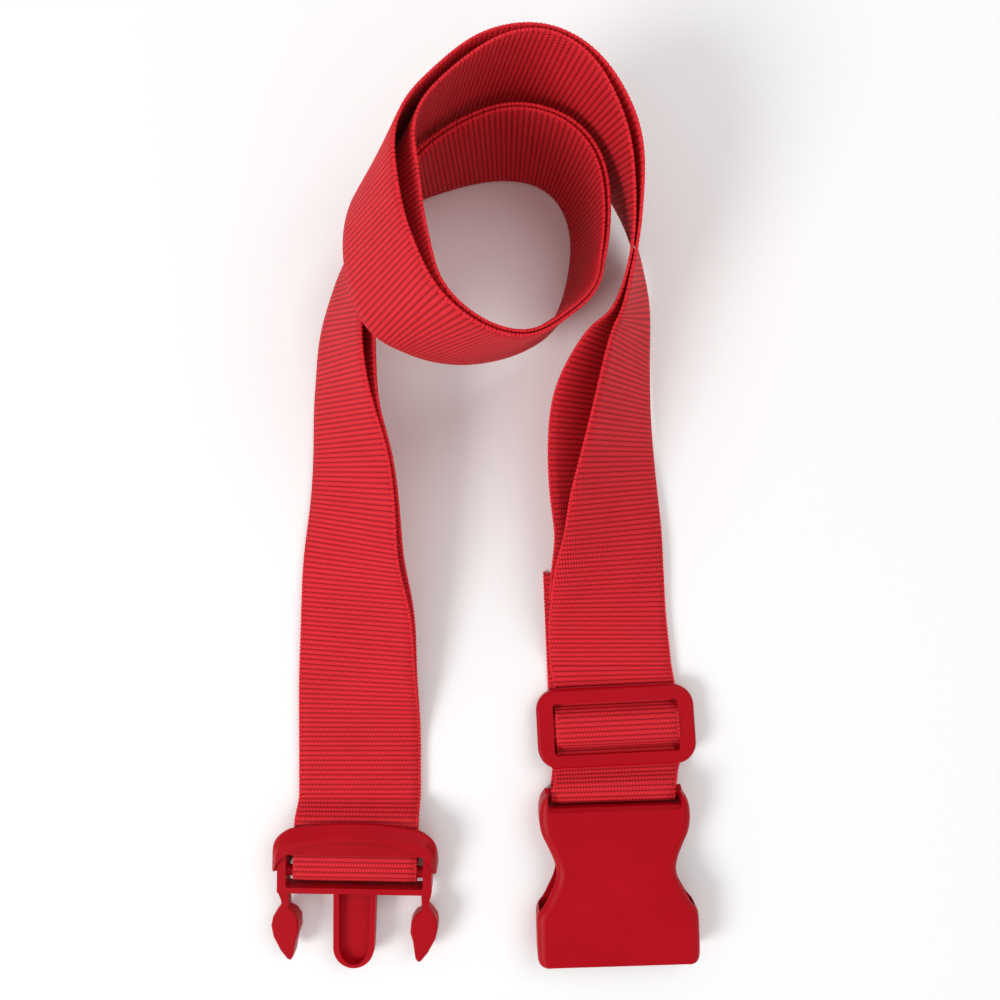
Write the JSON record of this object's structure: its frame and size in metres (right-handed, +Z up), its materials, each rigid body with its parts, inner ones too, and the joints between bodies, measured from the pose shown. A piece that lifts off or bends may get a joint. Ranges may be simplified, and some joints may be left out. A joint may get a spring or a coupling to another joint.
{
  "type": "gait belt",
  "caption": "Wide woven belt laid double and coiled on a table, with a side-release buckle at its ends and a tri-glide slider that sets its length.",
  "frame": {"origin": "bottom centre of the belt's box as it lies coiled on a table", "axes": "+Z up from the table, +Y from the buckle halves towards the coil, +X from the plug's side to the socket's side"},
  "size_m": [0.1743, 0.3519, 0.0929],
  "materials": {
    "webbing": "plain-woven red polyester webbing, dull with a slight sheen on the yarns",
    "moulding": "satin red moulded acetal or nylon"
  },
  "bodies": {
    "strap": {"webbing_left_arm_front": "webbing", "webbing_left_arm_back": "webbing", "webbing_first_turn_front": "webbing", "webbing_first_turn_back": "webbing", "webbing_second_turn_front": "webbing", "webbing_second_turn_back": "webbing", "webbing_right_arm_front": "webbing", "webbing_right_arm_back": "webbing", "webbing_plug_bend_front": "webbing", "webbing_plug_bend_back": "webbing", "webbing_arm_link": "webbing", "webbing_short_tail": "webbing", "webbing_socket_link_front": "webbing", "webbing_socket_link_back": "webbing", "webbing_socket_loop": "webbing"},
    "plug": {"plug_body": "moulding", "webbing_plug_loop": "webbing"},
    "prong_left": {"plug_prong_left": "moulding"},
    "prong_right": {"plug_prong_right": "moulding"},
    "socket": {"socket": "moulding"},
    "slider": {"tri_glide": "moulding", "webbing_slider_wrap_front": "webbing", "webbing_slider_wrap_back": "webbing"}
  },
  "joints": [
    {"name": "plug_fold", "type": "hinge", "parent": "strap", "child": "plug", "pos_m": [-0.0524, -0.1147, 0.0035], "axis": [-0.9998, 0.0174, 0], "range_deg": [0, 90], "deforming": ["webbing_plug_bend_front", "webbing_plug_bend_back"]},
    {"name": "socket_swing", "type": "hinge", "parent": "strap", "child": "socket", "pos_m": [0.0523, -0.105, 0.0075], "axis": [-0.9995, -0.0314, 0], "range_deg": [0, 80]},
    {"name": "prong_left_flex", "type": "hinge", "parent": "plug", "child": "prong_left", "pos_m": [-0.08184, -0.14409, 0.0075], "axis": [0, 0, 1], "range_deg": [0, 7], "stiffness_Nm_per_rad": 1.5},
    {"name": "prong_right_flex", "type": "hinge", "parent": "plug", "child": "prong_right", "pos_m": [-0.02365, -0.14511, 0.0075], "axis": [0, 0, -1], "range_deg": [0, 7], "stiffness_Nm_per_rad": 1.5},
    {"name": "slider_slide", "type": "slide", "parent": "strap", "child": "slider", "axis": [-0.0488, 0.9988, 0], "range_m": [-0.0035, 0.004], "deforming": ["webbing_arm_link", "webbing_short_tail", "webbing_socket_link_front", "webbing_socket_link_back"]}
  ]
}
